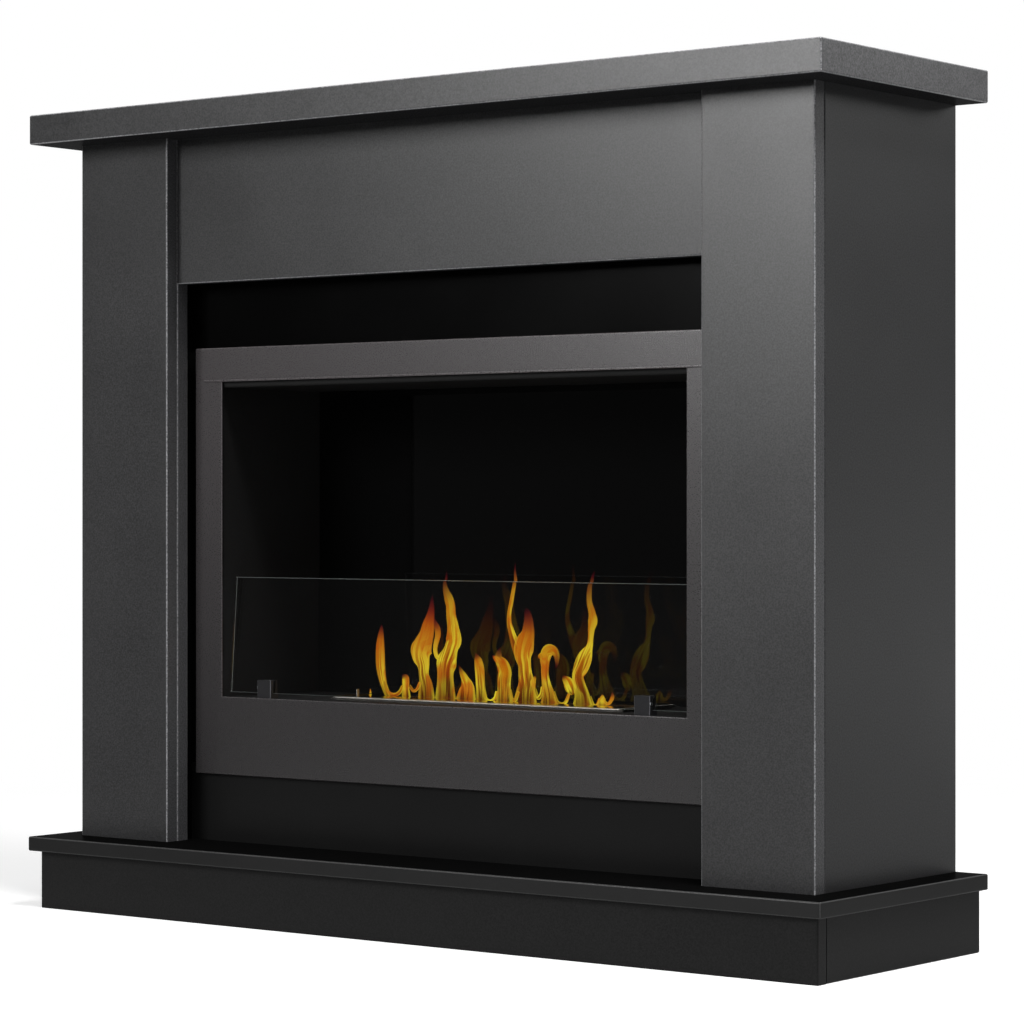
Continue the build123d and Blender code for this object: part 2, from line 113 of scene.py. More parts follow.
def sprayed_lacquer(
    name,
    colour,
    roughness,
    gloss,
    grain_mm=1.9,
    relief_mm=0.03,
    contrast=0.4,
    painted_edge_highlight=1.0,
    painted_light_facing_x=1.0,
    lying_gloss=0.0003,
):
    """Sprayed lacquer: a dry grain in colour and relief, and broad clouds in its sheen.

    The real grain is a few tenths of a millimetre, and is drawn coarser so that it shows.
    The boards lie square to the axes, so where no part of the normal is near 1 the
    surface is an eased edge. There the colour is made lighter as a painted highlight,
    and on faces along X, such as a board's cut ends, as painted light; each by its
    gain. Lying faces may have a gloss of their own.
    """
    cloud_mm = 120
    cloud_contrast = 0.04
    sheen_play = 0.02
    material, tree, place = new_material(name)
    sideways, _, upwards, square = facing_axes(tree)
    # Painted highlight on the eased edges and painted light on the faces along X, as colour gains.
    edge = add(tree, "MapRange", {0: square, **eased_range, 3: painted_edge_highlight, 4: 1.0})
    end = add(tree, "MapRange", {0: sideways, **square_range, 3: 1.0, 4: painted_light_facing_x})
    painted_edge_and_side_light = add(tree, "Math", {0: edge, 1: end}, operation="MULTIPLY")
    grain = add(tree, "TexNoise", {"Vector": place, "Scale": 1 / (grain_mm * mm), "Detail": 3})
    cloud = add(tree, "TexNoise", {"Vector": place, "Scale": 1 / (cloud_mm * mm), "Detail": 2})
    grainy = {0: grain, **noise_range, 3: 1 - contrast, 4: 1 + contrast}
    cloudy = {0: cloud, **noise_range, 3: 1 - cloud_contrast, 4: 1 + cloud_contrast}
    fine = add(tree, "MapRange", grainy)
    broad = add(tree, "MapRange", cloudy)
    even = add(tree, "Math", {0: fine, 1: broad}, operation="MULTIPLY")
    value = add(tree, "Math", {0: even, 1: painted_edge_and_side_light}, operation="MULTIPLY")
    sheen = {0: cloud, **noise_range, 3: roughness - sheen_play, 4: roughness + sheen_play}
    specular = gloss
    if lying_gloss != gloss:
        by_lie = {0: upwards, **square_range, 3: gloss, 4: lying_gloss}
        specular = add(tree, "MapRange", by_lie)
    surface = {
        "Base Color": add(tree, "HueSaturation", {"Color": linear(colour), "Value": value}),
        "Roughness": add(tree, "MapRange", sheen),
        "Specular IOR Level": specular,
        "Normal": add(tree, "Bump", {"Height": grain, "Distance": relief_mm * mm}),
    }
    shader = add(tree, "BsdfPrincipled", surface)
    add(tree, "OutputMaterial", {"Surface": shader})
    return material


graphite = {
    "colour": "#303031",
    "roughness": 0.38,
    "gloss": 0.85,
    "relief_mm": 0.052,
    "contrast": 0.7,
}
# The front boards: a strong painted highlight along their eased edges, and painted light on faces
# along X, the mantel's ends and the pilasters' inner sides.
coat(
    sprayed_lacquer("matt_graphite_lacquer", **graphite, painted_edge_highlight=9.0, painted_light_facing_x=2.4),
    "mantel_shelf",
    "header_board",
    "left_pilaster_facing",
    "right_pilaster_facing",
    "left_stile",
    "right_stile",
)
# The side panels face along X, so they get only a weaker painted highlight on their edges and no
# painted light.
coat(
    sprayed_lacquer("matt_graphite_lacquer_on_sides", **graphite, painted_edge_highlight=2.0),
    "left_side_panel",
    "right_side_panel",
)

# ---------------------------------------------------------------- hearth and plinth
# The hearth board, the plinth's boards under it and the panel over it are MDF too,
# sprayed in one black. The hearth board's copy is painted darker, painted shade on the
# lying hearth, and the niche panel's copy a little darker, painted shade in the recess.

coat(
    # Darker than the plinth's copy, painted shade on the lying hearth, with a strong painted
    # highlight along the eased edges.
    sprayed_lacquer(
        "satin_black_painted_shade_on_hearth",
        colour="#0b0b0b",
        roughness=0.42,
        gloss=0.6,
        painted_edge_highlight=14.0,
    ),
    "hearth_board",
)
coat(
    sprayed_lacquer(
        "satin_black_on_plinth",
        colour="#1e1e1e",
        roughness=0.34,
        gloss=0.3,
    ),
    "plinth_front_board",
    "left_plinth_side",
    "right_plinth_side",
)
coat(
    # Darker than the plinth's copy of the same black, painted shade in the niche's recess.
    sprayed_lacquer(
        "satin_black_painted_shade_in_niche",
        colour="#151515",
        roughness=0.34,
        gloss=0.3,
        relief_mm=0.015,
    ),
    "lower_niche_panel",
)

# ---------------------------------------------------------------- niche
# The panel above the insert and the uprights beside it are sprayed in a structured
# black, which dries in pimples over a millimetre wide that glint one by one.

coat(
    sprayed_lacquer(
        "structured_black_paint",
        colour="#040404",
        roughness=0.24,
        gloss=0.1,
        grain_mm=1.6,
        relief_mm=0.1,
        contrast=0.6,
    ),
    "upper_niche_panel",
    "left_upright",
    "right_upright",
)

# ---------------------------------------------------------------- inner boards
# Rails, the insert's shelf and the plinth's inner parts are raw MDF, sawn and
# sanded: a warm brown felt of pressed fibres. The loose tenons are beech.


def raw_mdf():
    """Pressed fibres: short flecks about 3 mm long over a mealy ground."""
    flecks_per_metre = (300, 1400, 1400)
    meal_mm = 6
    material, tree, place = new_material("raw_mdf")
    along = add(tree, "Mapping", {"Vector": place, "Scale": flecks_per_metre})
    flecks = add(tree, "TexNoise", {"Vector": along, "Scale": 1.0, "Detail": 3})
    meal = add(tree, "TexNoise", {"Vector": place, "Scale": 1 / (meal_mm * mm), "Detail": 4})
    fleck = add(tree, "MapRange", {0: flecks, **noise_range, 3: 0.85, 4: 1.12})
    ground = add(tree, "MapRange", {0: meal, **noise_range, 3: 0.93, 4: 1.06})
    value = add(tree, "Math", {0: fleck, 1: ground}, operation="MULTIPLY")
    surface = {
        "Base Color": add(tree, "HueSaturation", {"Color": linear("#a98a66"), "Value": value}),
        "Roughness": add(tree, "MapRange", {0: meal, **noise_range, 3: 0.78, 4: 0.88}),
        "Normal": add(tree, "Bump", {"Height": flecks, "Distance": 0.04 * mm}),
    }
    shader = add(tree, "BsdfPrincipled", surface)
    add(tree, "OutputMaterial", {"Surface": shader})
    return material


def beech():
    """Beech: pale straight grain along Z, with dark rays about 8 mm long."""
    rays_per_metre = (900, 900, 120)
    material, tree, place = new_material("bare_beech")
    along = add(tree, "Mapping", {"Vector": place, "Scale": rays_per_metre})
    rays = add(tree, "TexNoise", {"Vector": along, "Scale": 1.0, "Detail": 2})
    value = add(tree, "MapRange", {0: rays, **noise_range, 3: 0.85, 4: 1.1})
    surface = {
        "Base Color": add(tree, "HueSaturation", {"Color": linear("#c79f70"), "Value": value}),
        "Roughness": add(tree, "MapRange", {0: rays, **noise_range, 3: 0.55, 4: 0.7}),
    }
    shader = add(tree, "BsdfPrincipled", surface)
    add(tree, "OutputMaterial", {"Surface": shader})
    return material


coat(
    raw_mdf(),
    "insert_shelf",
    "top_back_rail",
    "bottom_back_rail",
    "plinth_back_board",
    "plinth_cross_rails",
    "plinth_corner_blocks",
)
coat(beech(), "header_tenons", "mantel_tenons", "hearth_tenons")

# ---------------------------------------------------------------- insert frame
# Folded steel sheet with a baked powder coat in a warm dark grey. The powder melts
# into a skin of pebbles a millimetre or two wide, painted lighter on their tops as a
# painted highlight and darker between them as painted shade.


def powder_coat():
    """Powder coat: pebbles from rounded cells, with grit from noise of the same size.

    Painted light makes it lighter the higher it lies on the frame, and a painted
    highlight makes it lighter on the bends. Its flakes mirror more than bare resin,
    which its IOR stands for.
    Behind the face plate the returns are sprayed black, like the firebox.
    """
    grit_mm = 1.3
    face_depth = 3.5 * mm
    tone_at_foot, tone_at_head = 0.72, 2.0
    painted_bend_highlight = 2.6
    frame_low, frame_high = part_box("insert_frame")
    material, tree, place = new_material("textured_powder_coat")
    grit = {"Vector": place, "Scale": 1 / (grit_mm * mm)}
    pebbles = add(tree, "TexVoronoi", grit, feature="SMOOTH_F1")
    flow = add(tree, "TexNoise", {**grit, "Detail": 3})
    # Painted highlight and shade: each pebble lighter at its top, darker towards its foot.
    top = add(tree, "MapRange", {0: pebbles, 1: 0.1, 2: 0.8, 3: 1.12, 4: 0.94})
    speck = add(tree, "MapRange", {0: flow, **noise_range, 3: 0.6, 4: 1.4})
    _, _, _, square = facing_axes(tree)
    # Painted highlight: the bends made lighter.
    bend = add(tree, "MapRange", {0: square, **eased_range, 3: painted_bend_highlight, 4: 1.0})
    grit_and_painted_bend_highlight = add(tree, "Math", {0: speck, 1: bend}, operation="MULTIPLY")
    mottled = add(tree, "Math", {0: top, 1: grit_and_painted_bend_highlight}, operation="MULTIPLY")
    height = add(tree, "Math", {0: flow, 1: pebbles}, operation="SUBTRACT")
    axes = add(tree, "SeparateXYZ", {0: place})
    # Painted light: lighter the higher it lies on the frame.
    over_height = {1: frame_low.z, 2: frame_high.z, 3: tone_at_foot, 4: tone_at_head}
    painted_light_by_height = add(tree, "MapRange", {0: axes.outputs["Z"], **over_height})
    value = add(tree, "Math", {0: mottled, 1: painted_light_by_height}, operation="MULTIPLY")
    behind_face = {0: axes.outputs["Y"], 1: frame_low.y + face_depth}
    inside = add(tree, "Math", behind_face, operation="GREATER_THAN")
    paints = {0: inside, 6: linear("#2f2c2d"), 7: linear("#060606")}
    paint = add(tree, "Mix", paints, data_type="RGBA").outputs[2]
    rough = add(tree, "MapRange", {0: flow, **noise_range, 3: 0.25, 4: 0.33})
    surface = {
        "Base Color": add(tree, "HueSaturation", {"Color": paint, "Value": value}),
        "Roughness": add(tree, "Math", {0: inside, 1: 0.4, 2: rough}, operation="MULTIPLY_ADD"),
        "IOR": 2.1,
        "Specular IOR Level": add(tree, "MapRange", {0: inside, 3: 0.5, 4: 0.1}),
        "Normal": add(tree, "Bump", {"Height": height, "Distance": 0.025 * mm}),
    }
    shader = add(tree, "BsdfPrincipled", surface)
    add(tree, "OutputMaterial", {"Surface": shader})
    return material


coat(powder_coat(), "insert_frame")

# ---------------------------------------------------------------- casing
# The casing behind the frame is galvanised sheet: zinc crystals a centimetre
# across, each with its own grey and its own gloss. Its screws are zinc plated.


def galvanised():
    """Zinc spangle: one random grey and roughness for each crystal."""
    spangle_mm = 11
    material, tree, place = new_material("galvanised_sheet")
    crystals = add(tree, "TexVoronoi", {"Vector": place, "Scale": 1 / (spangle_mm * mm)})
    shade = add(tree, "SeparateColor", {"Color": crystals.outputs["Color"]})
    value = add(tree, "MapRange", {0: shade.outputs[0], 3: 0.84, 4: 1.08})
    surface = {
        "Base Color": add(tree, "HueSaturation", {"Color": linear("#b4b8ba"), "Value": value}),
        "Metallic": 1.0,
        "Roughness": add(tree, "MapRange", {0: shade.outputs[1], 3: 0.34, 4: 0.5}),
    }
    shader = add(tree, "BsdfPrincipled", surface)
    add(tree, "OutputMaterial", {"Surface": shader})
    return material


def zinc_plate():
    """Bright zinc on the screws, faintly mottled."""
    mottle_mm = 1.5
    material, tree, place = new_material("zinc_plate")
    mottle = add(tree, "TexNoise", {"Vector": place, "Scale": 1 / (mottle_mm * mm)})
    surface = {
        "Base Color": linear("#b9bcbf"),
        "Metallic": 1.0,
        "Roughness": add(tree, "MapRange", {0: mottle, **noise_range, 3: 0.22, 4: 0.36}),
    }
    shader = add(tree, "BsdfPrincipled", surface)
    add(tree, "OutputMaterial", {"Surface": shader})
    return material


zinc = zinc_plate()
coat(galvanised(), "outer_casing", "casing_back")
coat(zinc, "casing_screws")

# ---------------------------------------------------------------- firebox
# Floor, walls and ceiling are sheet steel in a dead-matt black stove paint. In
# front of the back wall stands a polished black glass, which mirrors the flames.


def stove_paint():
    """Stove paint: matt black with a soft dusty grain."""
    dust_mm = 0.8
    material, tree, place = new_material("black_stove_paint")
    dust = add(tree, "TexNoise", {"Vector": place, "Scale": 1 / (dust_mm * mm), "Detail": 3})
    value = add(tree, "MapRange", {0: dust, **noise_range, 3: 0.7, 4: 1.3})
    surface = {
        "Base Color": add(tree, "HueSaturation", {"Color": linear("#262626"), "Value": value}),
        "Roughness": add(tree, "MapRange", {0: dust, **noise_range, 3: 0.6, 4: 0.75}),
        "Specular IOR Level": 0.08,
        "Normal": add(tree, "Bump", {"Height": dust, "Distance": 0.03 * mm}),
    }
    shader = add(tree, "BsdfPrincipled", surface)
    add(tree, "OutputMaterial", {"Surface": shader})
    return material


def black_glass():
    """Black ceramic glass: a clean mirror over black, with the least trace of haze."""
    haze_mm = 80
    material, tree, place = new_material("black_ceramic_glass")
    haze = add(tree, "TexNoise", {"Vector": place, "Scale": 1 / (haze_mm * mm), "Detail": 3})
    surface = {
        "Base Color": linear("#0a0a0a"),
        "Roughness": add(tree, "MapRange", {0: haze, **noise_range, 3: 0.01, 4: 0.04}),
    }
    shader = add(tree, "BsdfPrincipled", surface)
    add(tree, "OutputMaterial", {"Surface": shader})
    return material


coat(
    stove_paint(),
    "firebox_floor",
    "left_firebox_wall",
    "right_firebox_wall",
    "firebox_back_wall",
    "heat_shield",
)
coat(black_glass(), "back_liner")

# ---------------------------------------------------------------- burner
# Tank, top plate and damper are stainless steel, brushed finely along their length.
# Lying faces mirror the black firebox; bent flanges and cut edges are duller, and on
# the tank and top plate painted darker as painted shade. Round the slot the heat has
# left straw and bronze temper colours.

# The slot's middle line, half its length and width, and the top plate's upper face.
flame_y = 53.3 * mm
slot_half_length = 193 * mm
slot_half_width = 19 * mm
plate_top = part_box("firebox_floor")[1].z + 2 * mm


def brushed_stainless(name, painted_wall_shade):
    """Brushed steel: hairlines along X, and temper colours that fade away from the slot.

    The distance from the slot is that from a box of its length and width, endless in
    height. Hairlines are drawn 0.4 mm apart, coarser than real, so that they show.
    Where its normal lies flat, on edges and walls, the steel is rougher, and its colour
    is darkened by a factor, painted shade.
    """
    hairs_per_metre = (9, 2600, 2600)
    heat_reach = 14 * mm
    endless = 1.0
    lying_range = {1: 0.5, 2: 0.9}
    material, tree, place = new_material(name)
    along = add(tree, "Mapping", {"Vector": place, "Scale": hairs_per_metre})
    hairs = add(tree, "TexNoise", {"Vector": along, "Scale": 1.0, "Detail": 2})
    slot_centre = (0, flame_y, plate_top)
    slot_half = (slot_half_length, slot_half_width, endless)
    offset = add(tree, "VectorMath", {0: place, 1: slot_centre}, operation="SUBTRACT")
    away = add(tree, "VectorMath", {0: offset}, operation="ABSOLUTE")
    past = add(tree, "VectorMath", {0: away, 1: slot_half}, operation="SUBTRACT")
    outside = add(tree, "VectorMath", {0: past, 1: (0, 0, 0)}, operation="MAXIMUM")
    distance = add(tree, "VectorMath", {0: outside}, operation="LENGTH").outputs["Value"]
    heat = add(tree, "MapRange", {0: distance, 1: 0.0, 2: heat_reach, 3: 0.8, 4: 0.0})
    steels = {0: heat, 6: linear("#cfccc6"), 7: linear("#b48a55")}
    temper = add(tree, "Mix", steels, data_type="RGBA").outputs[2]
    streaks = add(tree, "MapRange", {0: hairs, **noise_range, 3: 0.92, 4: 1.04})
    axes = add(tree, "SeparateXYZ", {0: add(tree, "NewGeometry").outputs["Normal"]})
    lying = add(tree, "Math", {0: axes.outputs["Z"]}, operation="ABSOLUTE")
    # Painted shade: walls and edges darkened.
    painted_wall_shade_factor = add(tree, "MapRange", {0: lying, **lying_range, 3: painted_wall_shade, 4: 1.0})
    value = add(tree, "Math", {0: streaks, 1: painted_wall_shade_factor}, operation="MULTIPLY")
    finish = add(tree, "MapRange", {0: lying, **lying_range, 3: 0.46, 4: 0.1})
    rough = add(tree, "MapRange", {0: hairs, **noise_range, 3: 0.9, 4: 1.1})
    surface = {
        "Base Color": add(tree, "HueSaturation", {"Color": temper, "Value": value}),
        "Metallic": 1.0,
        "Roughness": add(tree, "Math", {0: finish, 1: rough}, operation="MULTIPLY"),
        "Normal": add(tree, "Bump", {"Height": hairs, "Distance": 0.004 * mm}),
    }
    shader = add(tree, "BsdfPrincipled", surface)
    add(tree, "OutputMaterial", {"Surface": shader})
    return material


def ceramic_wool():
    """Ceramic wool: matted white fibres about 8 mm long.

    They are the higher of two noises that are drawn out in crossing directions.
    """
    felt_range = {1: 0.35, 2: 0.75}
    material, tree, place = new_material("ceramic_wool")
    one_way = {"Vector": place, "Rotation": (0.3, 0.2, 0.9), "Scale": (120, 1500, 900)}
    other_way = {"Vector": place, "Rotation": (0.1, 0.4, -0.7), "Scale": (140, 1300, 900)}
    one = add(tree, "TexNoise", {"Vector": add(tree, "Mapping", one_way), "Scale": 1.0})
    other = add(tree, "TexNoise", {"Vector": add(tree, "Mapping", other_way), "Scale": 1.0})
    felt = add(tree, "Math", {0: one, 1: other}, operation="MAXIMUM")
    value = add(tree, "MapRange", {0: felt, **felt_range, 3: 0.72, 4: 1.04})
    surface = {
        "Base Color": add(tree, "HueSaturation", {"Color": linear("#e6e2d8"), "Value": value}),
        "Roughness": add(tree, "MapRange", {0: felt, **felt_range, 3: 0.85, 4: 0.95}),
        "Normal": add(tree, "Bump", {"Height": felt, "Distance": 0.6 * mm}),
    }
    shader = add(tree, "BsdfPrincipled", surface)
    add(tree, "OutputMaterial", {"Surface": shader})
    return material


coat(brushed_stainless("brushed_stainless", painted_wall_shade=1.0), "damper_plate")
# Tank and top plate: walls and edges painted darker, painted shade; the damper's are not.
coat(
    brushed_stainless("stainless_with_painted_shade", painted_wall_shade=0.12),
    "burner_tank",
    "burner_top_plate",
)
coat(ceramic_wool(), "ceramic_wool_pad")

# ---------------------------------------------------------------- windscreen
# A pane of clear tempered glass, polished on its faces and ground along its edges,
# so that they catch the light. Two clips in black enamel hold it on rubber, each with
# a zinc-plated screw.


def tempered_glass():
    """Clear glass that lets lamps through. Its faces and upright edges are polished; the
    chamfers and the upper and lower edge, told by their normals, are ground dull."""
    polished_normal = 0.9
    grit_mm = 0.7
    material, tree, place = new_material("clear_tempered_glass")
    sideways, forwards, _, _ = facing_axes(tree)
    off_face = add(tree, "Math", {0: forwards, 1: polished_normal}, operation="LESS_THAN")
    off_side = add(tree, "Math", {0: sideways, 1: polished_normal}, operation="LESS_THAN")
    edge = add(tree, "Math", {0: off_face, 1: off_side}, operation="MULTIPLY")
    grit = add(tree, "TexNoise", {"Vector": place, "Scale": 1 / (grit_mm * mm)})
    clear = {"Roughness": 0.0, "IOR": 1.5, "Transmission Weight": 1.0}
    ground = {
        "Base Color": linear("#8d9694"),
        "Roughness": add(tree, "MapRange", {0: grit, **noise_range, 3: 0.35, 4: 0.6}),
        "Transmission Weight": 0.6,
    }
    pane = add(tree, "BsdfPrincipled", clear)
    rim = add(tree, "BsdfPrincipled", ground)
    both = add(tree, "MixShader", {0: edge, 1: pane, 2: rim})
    lamp_ray = add(tree, "LightPath").outputs["Is Shadow Ray"]
    surface = add(tree, "MixShader", {0: lamp_ray, 1: both, 2: add(tree, "BsdfTransparent")})
    add(tree, "OutputMaterial", {"Surface": surface})
    return material


def gasket_rubber():
    """Black silicone rubber: matt, with a talc bloom."""
    bloom_mm = 2
    material, tree, place = new_material("black_silicone_rubber")
    bloom = add(tree, "TexNoise", {"Vector": place, "Scale": 1 / (bloom_mm * mm)})
    value = add(tree, "MapRange", {0: bloom, **noise_range, 3: 0.8, 4: 1.3})
    surface = {
        "Base Color": add(tree, "HueSaturation", {"Color": linear("#191919"), "Value": value}),
        "Roughness": add(tree, "MapRange", {0: bloom, **noise_range, 3: 0.6, 4: 0.8}),
    }
    shader = add(tree, "BsdfPrincipled", surface)
    add(tree, "OutputMaterial", {"Surface": shader})
    return material


# Painted highlight along the clips' eased edges, by the edge gain.
clip_enamel = sprayed_lacquer(
    "black_clip_enamel",
    colour="#28282a",
    roughness=0.32,
    gloss=0.5,
    grain_mm=0.6,
    relief_mm=0.01,
    painted_edge_highlight=7.0,
    lying_gloss=0.5,
)
coat(tempered_glass(), "glass_pane")
coat(clip_enamel, "left_glass_clip", "right_glass_clip")
coat(gasket_rubber(), "clip_gaskets")
coat(zinc, "clip_screws")

# ---------------------------------------------------------------- flames
# Alcohol burns with quiet yellow tongues that stand in one row over the slot,
# lean, fork and curl at their tips. Low down they are a veil that one can see
# through, with bright threads in it; the tips turn red and fade.

# How red a tongue is, from 0 to 1, and its spine. A point of a spine is how far it
# is across from the slot's middle and over the plate, and half the tongue's width
# there, all in millimetres. A spine runs upwards, except where a tongue curls over.
flame_spines = {
    "blade": (0.85, [
        (-188, -2, 3), (-194, 11, 3.9), (-197, 20, 5.3), (-200, 34, 6.5), (-201, 49, 6.7),
        (-201, 64, 5.7), (-200, 76, 3.5), (-199, 85, 1.6), (-199, 90, 0),
    ]),
    "hollow": (0.1, [
        (-192, 13, 2), (-187, 4, 2.3), (-177, 2, 2.3), (-169, 6, 2.5), (-165, 13, 1.9),
    ]),
    "stub": (0.1, [(-159, -2, 7), (-160, 11, 5), (-160, 20, 5), (-161, 24, 4.5), (-166, 28, 0)]),
    "saddle": (0.1, [(-154, 14, 1.7), (-148, 8, 2.1), (-142, 10, 1.9), (-137, 18, 2.3)]),
    "broad": (1.0, [
        (-127, -2, 13.4), (-128, 15, 10.4), (-131, 28, 7.3), (-132, 40, 9.2), (-135, 50, 14),
        (-135, 58, 17), (-132, 66, 14), (-127, 77, 11), (-124, 89, 9), (-121, 100, 6),
        (-119, 110, 3.5), (-118, 121, 1.7), (-117, 130, 0),
    ]),
    "broad_side": (0.8, [
        (-97, 56, 1.5), (-102, 49, 2.3), (-109, 50, 2.7), (-113, 58, 2.5), (-112, 67, 2.9),
        (-109, 77, 3.4), (-110, 86, 3.6), (-114, 94, 2.3), (-116, 102, 0),
    ]),
    "tall": (0.3, [
        (-97, -2, 16.4), (-97, 19, 13), (-97, 32, 12.6), (-95, 44, 15.6), (-90, 56, 11.4),
        (-87, 64, 10.2), (-84, 72, 12), (-85, 87, 8.7), (-88, 102, 7), (-89, 114, 6.6),
        (-92, 123, 6.3), (-96, 132, 3.8), (-98, 141, 2.1), (-97, 151, 1.1), (-97, 160, 0),
    ]),
    "low": (0.1, [(-65, -2, 16), (-63, 14, 11), (-66, 24, 5.7), (-72, 34, 2.6), (-77, 43, 0)]),
    "finger": (0.6, [
        (-40, -2, 9), (-42, 14, 6.7), (-43, 28, 6.6), (-44, 39, 6.7), (-46, 48, 5.3),
        (-48, 53, 2.6), (-51, 59, 0),
    ]),
    "finger_foot": (0.1, [
        (-37, 12, 1.7), (-34, 2, 2.2), (-27, -1, 2.2), (-20, 3, 2.2), (-17, 11, 1.9),
    ]),
    "beak": (0.3, [
        (-6, -2, 12.2), (-6, 13, 10), (-6, 26, 9.8), (-5, 35, 9.8), (-8, 43, 8.9),
        (-14, 51, 5.6), (-14, 58, 3.3), (-11, 67, 0),
    ]),
    "beak_tip": (0.8, [(-12, 46, 3.7), (-18, 51, 3.3), (-25, 55, 0)]),
    "beak_foot": (0.1, [(3, 14, 1.7), (6, 3, 2.2), (11, 2, 2.2), (16, 12, 1.8)]),
    "horn": (0.5, [
        (18, 57, 8), (11, 70, 6.2), (6, 82, 4.3), (2, 94, 3), (2, 107, 2.4), (5, 120, 2.4),
        (8, 134, 2.2), (10, 145, 2), (9, 158, 1.1), (10, 171, 0),
    ]),
    "wide": (0.8, [
        (26, -2, 18.3), (27, 10, 15), (28, 22, 12.1), (26, 35, 9.9), (25, 45, 9.5),
        (23, 55, 12.5), (24, 65, 15), (27, 74, 13), (30, 82, 9.8), (31, 90, 8), (31, 100, 6),
        (29, 109, 3.5), (26, 115, 0),
    ]),
    "wide_side": (0.3, [(39, 16, 2.6), (38, 24, 3.3), (40, 29, 2.2), (42, 33, 0)]),
    "wide_foot": (0.3, [(41, 16, 1.6), (45, 6, 2.6), (50, 10, 2), (52, 19, 1.8)]),
    "crook": (0.2, [
        (62, -2, 13.1), (61, 10, 9.1), (58, 22, 6.5), (56, 34, 5.1), (56, 44, 5.5),
        (56, 53, 7.3), (60, 62, 8), (68, 63, 6.2), (73, 58, 3.8), (74, 51, 2.5),
        (73, 45, 1.4), (70, 40, 0),
    ]),
    "curl": (0.3, [(56, 55, 4.7), (50, 56, 3.6), (45, 52, 0)]),
    "crook_foot": (0.1, [(69, 14, 1.6), (74, 2, 2.2), (81, -1, 2.2), (87, 2, 2.2), (92, 12, 1.8)]),
    "dancer": (0.3, [
        (112, -2, 14.7), (111, 11, 10.7), (107, 22, 9.3), (105, 34, 8.2), (110, 45, 10.7),
        (116, 57, 10), (122, 69, 4.3), (124, 80, 3.2), (125, 90, 4.3), (127, 99, 6.4),
        (126, 109, 4.6), (122, 122, 3.2), (122, 135, 2.9), (124, 146, 2.1), (126, 154, 1.4),
        (130, 162, 0),
    ]),
    "lobe": (0.2, [(98, 12, 3), (95, 18, 7.5), (91, 25, 7.2), (86, 30, 4), (82, 34, 0)]),
    "dancer_foot": (0.2, [(123, 10, 1.4), (128, 0, 1.8), (133, 0, 1.8), (137, 8, 1.4)]),
    "small": (0.3, [(141, -1, 7.1), (141, 7, 3.9), (141, 11, 1.8), (141, 14, 0)]),
    "last": (0.6, [(144, 5, 1.4), (149, 2, 1.8), (153, 5, 2.1), (156, 11, 2.1), (155, 18, 0)]),
    "spark": (0.0, [(-218, -2, 1.8), (-217, 2, 1.4), (-217, 8, 0.3)]),
}

# Half a tongue's depth where it is deepest, and the rings of its tube and their points.
half_depth = 3.5 * mm
rings, ring_points = 64, 20


def through_points(points):
    """A Catmull-Rom curve: a cubic between each two points, its slopes from their neighbours."""
    just_inside = 1e-9
    before = 2 * points[0] - points[1]
    after = 2 * points[-1] - points[-2]
    held = np.vstack([before, points, after])
    steps = np.linspace(0, len(points) - 1 - just_inside, rings)
    start = steps.astype(int)
    t = (steps - start)[:, None]
    a, b, c, d = (held[start + k] for k in range(4))
    return b + t * ((c - a) + t * ((2 * a - 5 * b + 4 * c - d) + t * (3 * (b - c) + d - a))) / 2


def flame_tongue(points):
    """A flat tube: at each step along the spine an ellipse square to it, of the half width
    there and of half_depth, or round where the tongue is narrower than that."""
    x, z, half = through_points(np.array(points, float)).T * mm
    half = np.maximum(half, 0)
    ahead = np.stack([np.gradient(x), np.gradient(z)], axis=1)
    step = np.linalg.norm(ahead, axis=1)
    ahead /= step[:, None]
    turn = np.linspace(0, 2 * np.pi, ring_points, endpoint=False)
    across = half[:, None] * np.cos(turn)
    deep = np.minimum(half, half_depth)[:, None] * np.sin(turn)
    grid = np.stack(
        [
            x[:, None] + ahead[:, 1:] * across,
            flame_y + deep,
            plate_top + z[:, None] - ahead[:, :1] * across,
        ],
        axis=2,
    )
    return grid, across, np.cumsum(step)


def tube_faces(count, around, first):
    """Quads between neighbouring rings of a tube, and one face over each of its ends."""
    number = first + np.arange(count * around).reshape(count, around)
    beside = np.roll(number, -1, axis=1)
    walls = np.stack([number[:-1], number[1:], beside[1:], beside[:-1]], axis=2)
    return walls.reshape(-1, 4).tolist() + [number[0].tolist(), number[-1][::-1].tolist()]


def flame_mesh():
    """All tongues in one mesh. Attributes say where on its tongue each point lies: how far
    up it, how far aside of its spine, and a place in metres that follows the flow. A strand
    that doesn't end in a point has no tip, so it counts up to a tongue's lower part only."""
    points, faces, up, aside, flow, redness = [], [], [], [], [], []
    for k, (red, spine) in enumerate(flame_spines.values()):
        grid, across, length = flame_tongue(spine)
        faces += tube_faces(rings, ring_points, k * rings * ring_points)
        points.append(grid.reshape(-1, 3))
        ends_in_point = spine[-1][2] == 0
        end = 1.0 if ends_in_point else 0.4
        up.append(np.repeat(np.linspace(0, end, rings), ring_points))
        turn = np.linspace(0, 2 * np.pi, ring_points, endpoint=False)
        aside.append(np.tile(np.cos(turn), rings))
        along = np.repeat(length, ring_points)
        depth = grid[:, :, 1].ravel() - flame_y
        flow.append(np.stack([across.ravel(), depth + k, along], axis=1))
        redness.append(np.full(rings * ring_points, red))
    mesh = bpy.data.meshes.new("flames")
    mesh.from_pydata(np.concatenate(points).tolist(), [], faces)
    for name, values in (("up", up), ("aside", aside), ("redness", redness)):
        attribute = mesh.attributes.new(name, "FLOAT", "POINT")
        attribute.data.foreach_set("value", np.concatenate(values).astype(np.float32))
    attribute = mesh.attributes.new("flow", "FLOAT_VECTOR", "POINT")
    attribute.data.foreach_set("vector", np.concatenate(flow).astype(np.float32).ravel())
    mesh.polygons.foreach_set("use_smooth", np.ones(len(mesh.polygons), bool))
    mesh.update()
    return mesh


